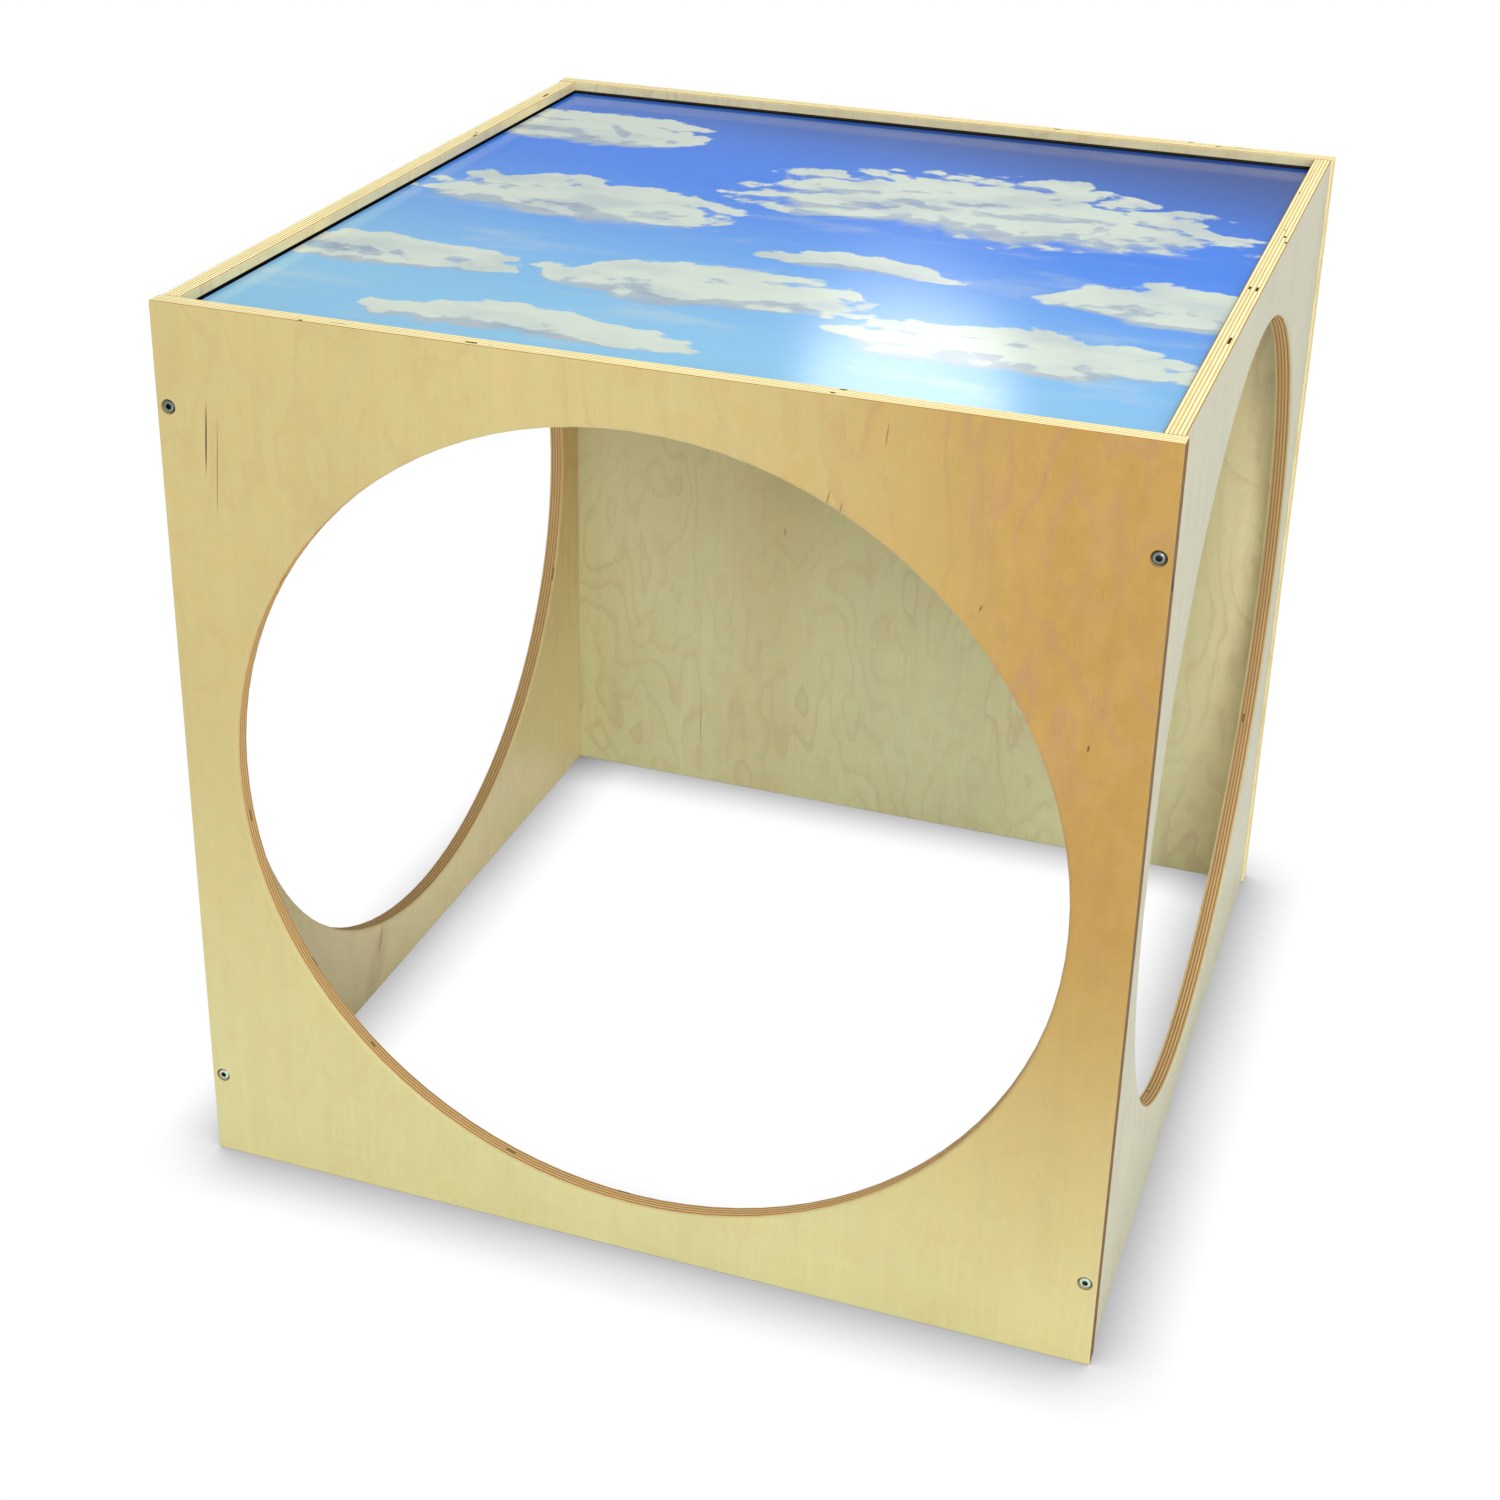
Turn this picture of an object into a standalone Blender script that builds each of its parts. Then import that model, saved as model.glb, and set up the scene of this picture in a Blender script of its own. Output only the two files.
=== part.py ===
"""Privacy play cube: four plywood panels, three of them with a round crawl hole, screwed together
round a printed sky sheet that sits in a groove near their top edges.

Metres, +Z up. The origin is the middle of the base on the floor, and the front faces -Y.
"""
import math

import bmesh
import bpy
from mathutils import Matrix, Vector

# Outside of the cube
WIDTH = 0.745
DEPTH = 0.762
HEIGHT = 0.745

# Plywood panels: the side panels stand between the front and the back, in from their ends
PLY = 0.015
SIDE_INSET = 0.002
EDGE_EASING = 0.0008
TOUCH_GAP = 0.0003

# Round crawl holes in the front and both sides: the wood left above and below the hole
RIM_ABOVE_HOLE = 0.047
RIM_BELOW_HOLE = 0.045
HOLE_ROUNDING = 0.003

# Sky sheet: it lies on the lower side of a groove, with an open slot above it
SHEET_DROP = 0.0108
SHEET_THICKNESS = 0.003
SLOT_HEIGHT = 0.003
GROOVE_DEPTH = 0.006
SHEET_END_PLAY = 0.0008
SHEET_EASING = 0.0003

# Button-head socket screws, sunk in counterbores
SCREW_FROM_TOP = 0.080
SCREW_FROM_FLOOR = 0.0755
SCREW_LENGTH = 0.025
SHANK_RADIUS = 0.003
SHANK_CHAMFER = 0.0006
HEAD_OVERHANG = 0.00225
HEAD_HEIGHT = 0.0033
HEAD_RIM = 0.0006
HEAD_RECESS = 0.0003
HEAD_CLEARANCE = 0.00065
SOCKET_ACROSS_FLATS = 0.004
SOCKET_DEPTH = 0.0021
SOCKET_LAND = 0.0006

# Threaded inserts in the ends of the side panels
INSERT_LENGTH = 0.015
INSERT_WALL = 0.0007
INSERT_RIDGE_HEIGHT = 0.0005
INSERT_RIDGES = 3
RIDGE_FLAT_SHARE = 0.25
INSERT_RECESS = 0.0005
BORE_SPARE_DEPTH = 0.001

# How finely round shapes are cut, and how far a cutter runs past the face that it opens
HOLE_SIDES = 96
ROUNDING_STEPS = 3
EASING_STEPS = 2
SCREW_SIDES = 24
DOME_STEPS = 3
INSERT_SIDES = 16
HEXAGON_SIDES = 6
SHARP_ANGLE = math.radians(35)
CUTTER_OVERRUN = 0.002
MERGE = 0.00001

# Sizes that follow
HOLE_RADIUS = (min(WIDTH, DEPTH, HEIGHT) - RIM_ABOVE_HOLE - RIM_BELOW_HOLE) / 2
HOLE_CENTRE_HEIGHT = RIM_BELOW_HOLE + HOLE_RADIUS
INNER_HALF_WIDTH = WIDTH / 2 - SIDE_INSET - PLY
INNER_HALF_DEPTH = DEPTH / 2 - PLY
SIDE_PANEL_LENGTH = 2 * (INNER_HALF_DEPTH - TOUCH_GAP)
SIDE_PANEL_MIDDLE = INNER_HALF_WIDTH + PLY / 2
END_PANEL_MIDDLE = INNER_HALF_DEPTH + PLY / 2
SHEET_TOP = HEIGHT - SHEET_DROP
SHEET_REACH = GROOVE_DEPTH - SHEET_END_PLAY
GROOVE_HEIGHT = SLOT_HEIGHT + SHEET_THICKNESS + TOUCH_GAP
GROOVE_MIDDLE = SHEET_TOP + SLOT_HEIGHT - GROOVE_HEIGHT / 2
HEAD_RADIUS = SHANK_RADIUS + HEAD_OVERHANG
COUNTERBORE_RADIUS = HEAD_RADIUS + HEAD_CLEARANCE
COUNTERBORE_DEPTH = HEAD_RECESS + HEAD_HEIGHT + TOUCH_GAP
SOCKET_RADIUS = SOCKET_ACROSS_FLATS / 2 / math.cos(math.pi / HEXAGON_SIDES)
INSERT_BORE_RADIUS = SHANK_RADIUS + TOUCH_GAP
INSERT_ROOT_RADIUS = INSERT_BORE_RADIUS + INSERT_WALL
INSERT_RADIUS = INSERT_ROOT_RADIUS + INSERT_RIDGE_HEIGHT
SCREW_HEIGHTS = {"low": SCREW_FROM_FLOOR, "high": HEIGHT - SCREW_FROM_TOP}
SIDES = {"left": -1, "right": 1}
ENDS = {"front": -1, "back": 1}


def clear_scene():
    for obj in list(bpy.context.scene.objects):
        bpy.data.objects.remove(obj, do_unlink=True)


def new_collection(name):
    collection = bpy.data.collections.new(name)
    bpy.context.scene.collection.children.link(collection)
    return collection


def material(name, colour, roughness, metallic=0.0):
    mat = bpy.data.materials.new(name)
    mat.use_nodes = True
    shader = mat.node_tree.nodes["Principled BSDF"]
    shader.inputs["Base Color"].default_value = (*colour, 1.0)
    shader.inputs["Roughness"].default_value = roughness
    shader.inputs["Metallic"].default_value = metallic
    mat.diffuse_color = (*colour, 1.0)
    return mat


def add_object(name, mesh, collection, location=(0, 0, 0), rotation=(0, 0, 0)):
    obj = bpy.data.objects.new(name, mesh)
    collection.objects.link(obj)
    obj.location = location
    obj.rotation_euler = rotation
    return obj


def box_mesh(name, size):
    """A box of the given size, centred on its own origin."""
    mesh = bpy.data.meshes.new(name)
    bm = bmesh.new()
    bmesh.ops.create_cube(bm, size=1.0, matrix=Matrix.Diagonal((*size, 1.0)))
    bm.to_mesh(mesh)
    bm.free()
    return mesh


def ease_edges(obj, width):
    bevel = obj.modifiers.new("eased edges", "BEVEL")
    bevel.width = width
    bevel.segments = EASING_STEPS


def turned_object(name, profile, sides, collection, location=(0, 0, 0), rotation=(0, 0, 0)):
    """A solid turned about its own Z axis from (radius, height) points, given top to bottom.

    A profile whose last point is its first one again makes a ring.
    """
    mesh = bpy.data.meshes.new(name)
    is_ring = profile[0] == profile[-1]
    corners = profile[:-1] if is_ring else profile
    points = [(radius, 0.0, height) for radius, height in corners]
    edges = [(i, i + 1) for i in range(len(points) - 1)]
    if is_ring:
        edges.append((len(points) - 1, 0))
    mesh.from_pydata(points, edges, [])
    obj = add_object(name, mesh, collection, location, rotation)
    screw = obj.modifiers.new("turned", "SCREW")
    screw.steps = sides
    screw.render_steps = sides
    screw.use_merge_vertices = True
    screw.merge_threshold = MERGE
    screw.use_smooth_shade = True
    return obj


def as_cutter(obj):
    obj.hide_render = True
    obj.display_type = "WIRE"
    return obj


def cut(obj, cutter, label):
    boolean = obj.modifiers.new(label, "BOOLEAN")
    boolean.operation = "DIFFERENCE"
    boolean.solver = "EXACT"
    boolean.object = cutter


def finished_mesh(obj, name):
    """The object's mesh with its modifiers applied. The object itself is removed."""
    depsgraph = bpy.context.evaluated_depsgraph_get()
    mesh = bpy.data.meshes.new_from_object(obj.evaluated_get(depsgraph))
    mesh.name = name
    bpy.data.objects.remove(obj, do_unlink=True)
    mesh.set_sharp_from_angle(angle=SHARP_ANGLE)
    return mesh


def hole_profile():
    """Outline of a crawl-hole cutter: a cylinder that flares to round both edges of the hole."""
    face = PLY / 2
    flare = HOLE_RADIUS + HOLE_ROUNDING
    upper = []
    for step in range(ROUNDING_STEPS + 1):
        turn = math.radians(90) * step / ROUNDING_STEPS
        radius = flare - HOLE_ROUNDING * math.sin(turn)
        height = face - HOLE_ROUNDING * (1 - math.cos(turn))
        upper.append((radius, height))
    upper = [(0.0, face + CUTTER_OVERRUN), (flare, face + CUTTER_OVERRUN)] + upper
    lower = [(radius, -height) for radius, height in reversed(upper)]
    return upper + lower


def screw_hole_profile():
    """Outline of the cutter for a counterbored hole. Height 0 is the panel's outer face."""
    shank = SHANK_RADIUS + TOUCH_GAP
    return [
        (0.0, CUTTER_OVERRUN),
        (COUNTERBORE_RADIUS, CUTTER_OVERRUN),
        (COUNTERBORE_RADIUS, -COUNTERBORE_DEPTH),
        (shank, -COUNTERBORE_DEPTH),
        (shank, -PLY - CUTTER_OVERRUN),
        (0.0, -PLY - CUTTER_OVERRUN),
    ]


def screw_profile():
    """Outline of a screw with a domed head. Height 0 is the top of its head."""
    flat = min(SOCKET_RADIUS + SOCKET_LAND, HEAD_RADIUS)
    dome_height = HEAD_HEIGHT - HEAD_RIM
    dome = []
    for step in range(DOME_STEPS + 1):
        turn = math.pi / 2 * step / DOME_STEPS
        radius = flat + (HEAD_RADIUS - flat) * math.sin(turn)
        dome.append((radius, -dome_height * (1 - math.cos(turn))))
    tip = -HEAD_HEIGHT - SCREW_LENGTH
    return [(0.0, 0.0)] + dome + [
        (HEAD_RADIUS, -HEAD_HEIGHT),
        (SHANK_RADIUS, -HEAD_HEIGHT),
        (SHANK_RADIUS, tip + SHANK_CHAMFER),
        (SHANK_RADIUS - SHANK_CHAMFER, tip),
        (0.0, tip),
    ]


def insert_profile():
    """Outline of a threaded insert, a sleeve with ridges round it. Height 0 is its mouth."""
    ridge_pitch = INSERT_LENGTH / INSERT_RIDGES
    half_flat = ridge_pitch * RIDGE_FLAT_SHARE / 2
    outside = [(INSERT_ROOT_RADIUS, 0.0)]
    for ridge in range(INSERT_RIDGES):
        crest = -(ridge + 0.5) * ridge_pitch
        outside.append((INSERT_RADIUS, crest + half_flat))
        outside.append((INSERT_RADIUS, crest - half_flat))
        outside.append((INSERT_ROOT_RADIUS, -(ridge + 1) * ridge_pitch))
    mouth = (INSERT_BORE_RADIUS, 0.0)
    return [mouth] + outside + [(INSERT_BORE_RADIUS, -INSERT_LENGTH), mouth]


def facing(end):
    """Rotation that turns a solid's own +Z outwards through the front or the back."""
    return (-ENDS[end] * math.radians(90), 0.0, 0.0)


def crawl_hole_cutter(name, location, rotation, collection):
    cutter = turned_object(name, hole_profile(), HOLE_SIDES, collection, location, rotation)
    return as_cutter(cutter)


def groove_cutter(name, size, location, collection):
    cutter = add_object(name, box_mesh(name, size), collection, location)
    return as_cutter(cutter)


def make_end_panel(end, wood, parts, cutters):
    """The front or the back panel: full width, a groove inside it and four counterbored holes."""
    name = end + "_panel"
    middle_y = ENDS[end] * END_PANEL_MIDDLE
    panel = add_object(name, box_mesh(name, (WIDTH, PLY, HEIGHT)), parts, (0, middle_y, HEIGHT / 2))
    panel.data.materials.append(wood)
    ease_edges(panel, EDGE_EASING)
    groove_length = 2 * (INNER_HALF_WIDTH + GROOVE_DEPTH)
    size = (groove_length, GROOVE_DEPTH + CUTTER_OVERRUN, GROOVE_HEIGHT)
    groove_y = ENDS[end] * (INNER_HALF_DEPTH + (GROOVE_DEPTH - CUTTER_OVERRUN) / 2)
    groove = groove_cutter(end + "_groove_cutter", size, (0, groove_y, GROOVE_MIDDLE), cutters)
    cut(panel, groove, "sheet groove")
    for side, level, place in screw_places(end, DEPTH / 2):
        label = f"{end}_{side}_{level}_screw_hole_cutter"
        profile = screw_hole_profile()
        hole = turned_object(label, profile, SCREW_SIDES, cutters, place, facing(end))
        cut(panel, as_cutter(hole), f"screw hole {side} {level}")
    if end == "front":
        place = (0, middle_y, HOLE_CENTRE_HEIGHT)
        hole = crawl_hole_cutter("front_hole_cutter", place, facing(end), cutters)
        cut(panel, hole, "crawl hole")
    return panel


def make_side_panel(side, wood, parts, cutters):
    """The left or the right panel: a crawl hole, a groove right through and bores in its ends."""
    name = side + "_panel"
    middle_x = SIDES[side] * SIDE_PANEL_MIDDLE
    panel_size = (PLY, SIDE_PANEL_LENGTH, HEIGHT)
    panel = add_object(name, box_mesh(name, panel_size), parts, (middle_x, 0, HEIGHT / 2))
    panel.data.materials.append(wood)
    ease_edges(panel, EDGE_EASING)
    size = (GROOVE_DEPTH + CUTTER_OVERRUN, SIDE_PANEL_LENGTH + 2 * CUTTER_OVERRUN, GROOVE_HEIGHT)
    groove_x = SIDES[side] * (INNER_HALF_WIDTH + (GROOVE_DEPTH - CUTTER_OVERRUN) / 2)
    groove = groove_cutter(side + "_groove_cutter", size, (groove_x, 0, GROOVE_MIDDLE), cutters)
    cut(panel, groove, "sheet groove")
    for end in ENDS:
        for bore_side, level, place in screw_places(end, SIDE_PANEL_LENGTH / 2):
            if bore_side == side:
                label = f"{end}_{side}_{level}_bore_cutter"
                bore = turned_object(label, bore_profile(), INSERT_SIDES, cutters, place, facing(end))
                cut(panel, as_cutter(bore), f"insert bore {end} {level}")
    across = (0.0, math.radians(90), 0.0)
    place = (middle_x, 0, HOLE_CENTRE_HEIGHT)
    cut(panel, crawl_hole_cutter(side + "_hole_cutter", place, across, cutters), "crawl hole")
    return panel


def bore_profile():
    """Outline of the cutter for an insert's blind bore. Height 0 is the end of the side panel."""
    radius = INSERT_RADIUS + TOUCH_GAP
    screw_reach = HEAD_RECESS + HEAD_HEIGHT + SCREW_LENGTH - PLY
    depth = max(screw_reach, INSERT_RECESS + INSERT_LENGTH) + BORE_SPARE_DEPTH
    return [(0.0, CUTTER_OVERRUN), (radius, CUTTER_OVERRUN), (radius, -depth), (0.0, -depth)]


def screw_places(end, distance):
    """Side, level and place of each screw at one end, at a distance out from the middle."""
    for side, sign in SIDES.items():
        for level, height in SCREW_HEIGHTS.items():
            yield side, level, Vector((sign * SIDE_PANEL_MIDDLE, ENDS[end] * distance, height))


def make_sky_sheet(print_material, parts):
    """The printed sheet, which reaches into the grooves of all four panels."""
    width = 2 * (INNER_HALF_WIDTH + SHEET_REACH)
    depth = 2 * (INNER_HALF_DEPTH + SHEET_REACH)
    mesh = box_mesh("sky_sheet", (width, depth, SHEET_THICKNESS))
    sheet = add_object("sky_sheet", mesh, parts, (0, 0, SHEET_TOP - SHEET_THICKNESS / 2))
    sheet.data.materials.append(print_material)
    ease_edges(sheet, SHEET_EASING)
    return sheet


def screw_mesh(steel, cutters):
    """One button-head screw with a hexagonal socket."""
    screw = turned_object("screw", screw_profile(), SCREW_SIDES, cutters)
    height = SOCKET_DEPTH + CUTTER_OVERRUN
    mesh = bpy.data.meshes.new("socket_cutter")
    bm = bmesh.new()
    bmesh.ops.create_cone(
        bm,
        cap_ends=True,
        segments=HEXAGON_SIDES,
        radius1=SOCKET_RADIUS,
        radius2=SOCKET_RADIUS,
        depth=height,
    )
    bm.to_mesh(mesh)
    bm.free()
    socket = add_object("socket_cutter", mesh, cutters, (0, 0, CUTTER_OVERRUN - height / 2))
    cut(screw, as_cutter(socket), "hexagonal socket")
    result = finished_mesh(screw, "button_head_screw")
    bpy.data.objects.remove(socket, do_unlink=True)
    result.materials.append(steel)
    return result


def insert_mesh(brass, cutters):
    insert = turned_object("insert", insert_profile(), INSERT_SIDES, cutters)
    result = finished_mesh(insert, "threaded_insert")
    result.materials.append(brass)
    return result


def make_fasteners(steel, brass, parts, cutters):
    """Eight screws, sunk in the front and back panels, and the eight inserts that they enter."""
    screw = screw_mesh(steel, cutters)
    insert = insert_mesh(brass, cutters)
    fasteners = []
    for end in ENDS:
        for side, level, place in screw_places(end, DEPTH / 2 - HEAD_RECESS):
            name = f"screw_{end}_{side}_{level}"
            fasteners.append(add_object(name, screw, parts, place, facing(end)))
        for side, level, place in screw_places(end, SIDE_PANEL_LENGTH / 2 - INSERT_RECESS):
            name = f"insert_{end}_{side}_{level}"
            fasteners.append(add_object(name, insert, parts, place, facing(end)))
    return fasteners


def main():
    clear_scene()
    parts = new_collection("privacy_play_cube")
    cutters = new_collection("cutters")
    wood = material("birch_plywood", (0.62, 0.48, 0.27), 0.45)
    sky = material("sky_print", (0.20, 0.42, 0.75), 0.12)
    steel = material("zinc_plated_steel", (0.62, 0.63, 0.64), 0.35, 1.0)
    brass = material("brass", (0.72, 0.55, 0.25), 0.35, 1.0)
    pieces = [make_end_panel(end, wood, parts, cutters) for end in ENDS]
    pieces += [make_side_panel(side, wood, parts, cutters) for side in SIDES]
    pieces.append(make_sky_sheet(sky, parts))
    pieces += make_fasteners(steel, brass, parts, cutters)
    frame = add_object("play_cube_base", None, parts)
    for piece in pieces:
        piece.parent = frame


main()
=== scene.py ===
"""Looks of the privacy play cube.

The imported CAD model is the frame. Its four plywood panels, the sky sheet and the fastenings
keep their shapes and get their finishes here. Lengths are in metres, in the CAD's own frame.
"""

import math
from typing import NamedTuple

import bpy
from mathutils import Matrix, Vector


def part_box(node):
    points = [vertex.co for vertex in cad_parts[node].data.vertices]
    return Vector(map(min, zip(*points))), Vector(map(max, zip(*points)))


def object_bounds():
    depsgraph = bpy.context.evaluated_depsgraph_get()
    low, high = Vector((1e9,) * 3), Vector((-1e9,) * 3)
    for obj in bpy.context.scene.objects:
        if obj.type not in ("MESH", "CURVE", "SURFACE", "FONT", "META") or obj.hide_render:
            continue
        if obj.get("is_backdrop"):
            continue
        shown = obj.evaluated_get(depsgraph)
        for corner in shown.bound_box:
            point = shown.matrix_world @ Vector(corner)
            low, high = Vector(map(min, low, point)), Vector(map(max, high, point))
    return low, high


# Camera: where it stands, how it is turned in degrees, and its lens in millimetres.
CAMERA_PLACE = (0.5748, -1.8366, 1.3001)
CAMERA_AZIMUTH = 18.875
CAMERA_ELEVATION = 25.127
CAMERA_ROLL = 1.282
CAMERA_LENS = 59.055
CAMERA_SENSOR = 36.0
CAMERA_SHIFT = (0.00936, -0.09331)

# Studio: plain white surroundings, a soft ambient light and large soft lamps. Mirrors and gloss
# see a dimmer ceiling above the white horizon, between these two sines of the elevation.
AMBIENT_STRENGTH = 0.42
CEILING_STRENGTH = 0.30
CEILING_START = 0.12
CEILING_FULL = 0.24
FLOOR_SIZE = 14.0
FLOOR_ALBEDO = 0.92
CONTACT_SHADOW_REACH = 0.066
CONTACT_SHADOW_SAMPLES = 24
LAMPS = (
    # name, place, size, power in watts
    ("key_lamp", (1.9, -4.4, 1.8), 2.0, 92.0),
    ("fill_lamp", (-2.6, -2.6, 2.4), 2.2, 12.0),
    ("top_lamp", (1.1, 0.0, 3.3), 2.4, 62.0),
    ("glare_lamp", (-0.63, 2.72, 1.94), 0.45, 1.5),
)

# Birch plywood: 11 plies through each panel. The plies with upright grain, the faces among them,
# are thinner than the crossing ones between them. Thicknesses are shares of the panel's.
PLY_PAIRS = 5
UPRIGHT_PLY = 0.065
CROSSING_PLY = (1.0 - UPRIGHT_PLY * (PLY_PAIRS + 1)) / PLY_PAIRS
PLY_PAIR = UPRIGHT_PLY + CROSSING_PLY
GLUE_REACH = 0.011
PLY_WANDER = 0.022

# Veneer colours: the pale and the amber ground of the faces, the painted light on the lip above the
# sheet and in the back's right corner, the blush and the figure in the ground, and the stains.
VENEER_PALE = (221, 216, 156)
VENEER_PALE_BACK = (223, 222, 171)
VENEER_PALE_LEFT = (249, 234, 176)
VENEER_PALE_RIGHT = (206, 208, 172)
VENEER_AMBER = (188, 147, 66)
VENEER_AMBER_BACK = (173, 147, 78)
VENEER_PAINTED_SHADE_RIGHT = (150, 154, 132)
VENEER_PAINTED_LIGHT = (248, 238, 186)
VENEER_BLUSH = (205, 178, 128)
VENEER_BLUSH_FRONT = (200, 160, 88)
VENEER_FIGURE = (198, 148, 110)
MINERAL_STREAK = (88, 48, 20)
RED_STAIN = (184, 112, 62)

# Colours of the plies in a cut face: in the pale edges, and in the brown rims and ends.
CROSSING_PALE = (250, 241, 188)
CROSSING_BROWN = (218, 172, 118)
UPRIGHT_PALE = (226, 192, 122)
UPRIGHT_BROWN = (112, 70, 42)
FACE_PLY_PALE = (176, 112, 46)
FACE_PLY_BROWN = (226, 190, 138)
RIM_TAN = (188, 161, 106)
GLUE_LINE = (112, 70, 42)
# Painted shade, in the ply voids and in the sheet's groove.
HOLLOW_PAINTED_SHADE = (34, 22, 14)

# How far from a panel's outline its upright ends and its edges reach, half the width that the
# crawl holes reach, with what lies between them and the screws' bores, and the blur between them.
EDGE_MARGIN = 0.004
HOLE_REACH = 0.345
CUT_BLUR = 0.001
# The open slot above the sheet, how far the groove's painted shade runs past the sheet, and its blur.
SLOT_HEIGHT = 0.003
GROOVE_SPARE = 0.001
GROOVE_BLUR = 0.0002
# How dark the groove's painted shade is, and how much of the amber the painted light on the lip takes
# out.
GROOVE_PAINTED_SHADE = 0.95
LIP_PAINTED_LIGHT_SHARE = 0.7

# By how much a normal points along a panel's end or its face where each begins and is full.
END_RAMP = (0.5, 0.8)
FACE_RAMP = (0.45, 0.65)

# Lacquer: roughness and gloss of the veneered faces and of the cut ones, how much the fibres
# change the roughness round their mean height, and the relief's depth.
LACQUER_IOR = 1.5
FACE_ROUGHNESS = 0.34
FACE_GLOSS = 0.5
CUT_ROUGHNESS = 0.62
CUT_GLOSS = 0.05
FIBRE_ROUGHNESS = 0.10
FIBRE_MEAN = 0.3
WOOD_RELIEF = 0.00012

# Marks in the veneer: place across and up, half width, half height, lean and strength. A mark
# fades from the second of its ramp's reaches, in half widths squared, to the first.
MARK_RAMP = (1.3, 0.15)
FRONT_MARKS = (
    (-0.3334, 0.6450, 0.0008, 0.0300, 0.077, 0.95),
    (-0.3258, 0.6225, 0.0005, 0.0420, 0.074, 0.65),
    (0.2490, 0.6097, 0.0009, 0.0030, 0.300, 0.65),
    (0.3291, 0.5199, 0.0010, 0.0028, 0.100, 0.85),
    (0.1402, 0.6720, 0.0006, 0.0065, 0.200, 0.60),
    (0.1494, 0.6660, 0.0006, 0.0060, 0.200, 0.50),
    (0.1790, 0.7230, 0.0006, 0.0090, 0.100, 0.50),
)
BACK_MARKS = (
    (-0.1270, 0.3055, 0.0012, 0.0050, 0.000, 0.45),
    (-0.2153, 0.0673, 0.0005, 0.0230, 0.000, 0.60),
)
LEFT_MARKS = (
    (-0.1120, 0.0480, 0.0035, 0.0140, 0.350, 0.55),
    (-0.1220, 0.0280, 0.0200, 0.0360, 0.450, 0.20),
)

# Sky print: colours from the far edge to the near one, cloud colours, and the shade painted where it
# runs into the groove.
SKY_FAR = (42, 78, 152)
SKY_MIDDLE = (58, 130, 238)
SKY_NEAR = (138, 198, 234)
CLOUD_LIGHT = (216, 227, 211)
CLOUD_SHADE = (150, 168, 188)
PRINT_PAINTED_SHADE = (8, 16, 30)
# The print is painted with shade where it runs into the panels' groove; the shade begins this far
# before the panels and is full this far past.
EDGE_RAMP = (-0.0004, 0.0002)
# Places along the sheet, slanted by the sky's lean, where its middle and then its near colour
# fade in, and where the thin veil of cloud does. The haze shifts the veil across.
SKY_LEAN = 0.25
MIDDLE_FADE = (0.42, 0.12)
NEAR_FADE = (0.14, -0.34)
VEIL_FADE = (0.16, 0.0)
VEIL_RAMP = (0.52, 0.80)
VEIL_DRIFT = 0.2857
VEIL_THICKNESS = 0.35
CLOUD_THICKNESS = 0.96
# Cloud banks: place across and along the sheet, and half sizes.
CLOUD_BANKS = (
    (0.115, 0.105, 0.215, 0.125),
    (-0.285, 0.235, 0.125, 0.072),
    (-0.215, 0.005, 0.150, 0.082),
    (0.065, -0.070, 0.085, 0.032),
    (0.325, -0.090, 0.110, 0.062),
    (-0.290, -0.180, 0.110, 0.050),
    (-0.040, -0.175, 0.140, 0.062),
    (0.225, -0.230, 0.150, 0.062),
    (-0.130, -0.300, 0.150, 0.040),
)
# Cover outside all banks, and how far the light that shades the clouds is shifted.
CLEAR_SKY = -2.0
CLOUD_LIGHT_SHIFT = (0.004, 0.016)

# Screws and inserts: the socket and the bright dome of a screw's head, with painted shade in the socket
# and round the dome, and its metals. Each metal is a colour, the colour of its dull patches and a
# roughness.
SOCKET_RADIUS = 0.0023
DOME_RADIUS = 0.0048
PAINTED_SHADE_BLUR = 0.0002
SOCKET_PAINTED_SHADE = 0.88
METAL_PAINTED_SHADE = (24, 28, 28)
# The low screws' zinc is painted lighter, as a reflection, and the high screws' zinc darker, as shade.
ZINC_WITH_PAINTED_REFLECTION = ((212, 230, 214), (176, 196, 182), 0.26)
ZINC_WITH_PAINTED_SHADE = ((136, 144, 140), (96, 104, 102), 0.26)
TURNED_BRASS = ((206, 170, 96), (150, 116, 62), 0.30)


class Grain(NamedTuple):
    """A layer of noise: its features to the metre across and up, its place in the noise, its
    detail and roughness, by how much it makes a tone sway, and how far it raises the surface."""
    across: float
    up: float
    offset: float = 0.0
    detail: float = 2.0
    roughness: float = 0.5
    tone: float = 0.0
    relief: float = 0.0

    def sway(self, value):
        """The change of tone that a value of this noise makes."""
        return (value - 0.5) * self.tone


# Layers of a veneered face: fine fibres, long streaks, broad shades, cross curl, mottle and pores.
FIBRES = Grain(1300.0, 26.0, 0.0, 3.0, 0.6, tone=0.09, relief=0.6)
STREAKS = Grain(150.0, 3.2, 5.0, 3.0, 0.55, tone=0.09)
SHADES = Grain(7.0, 3.2, 7.0, 3.0, 0.5, tone=0.22)
CURL = Grain(22.0, 95.0, 13.0, 2.0, 0.5, tone=0.04, relief=0.3)
MOTTLE = Grain(48.0, 30.0, 23.0, 3.0, 0.6, tone=0.14)
PORES = Grain(1000.0, 75.0, 17.0, 1.0)
# A ramp is the value of a noise at which something begins and the one at which it is full.
MOTTLE_RAMP = (0.38, 0.68)
PORE_RAMP = (0.66, 0.80)
PORE_TONE = 0.10
PORE_DEPTH = 0.8
# How much the mottle blushes in plain wood and in full figure, and the figure's own patches.
MOTTLE_BLUSH = (0.12, 0.62)
PATCH_BLUSH = 0.45
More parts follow.
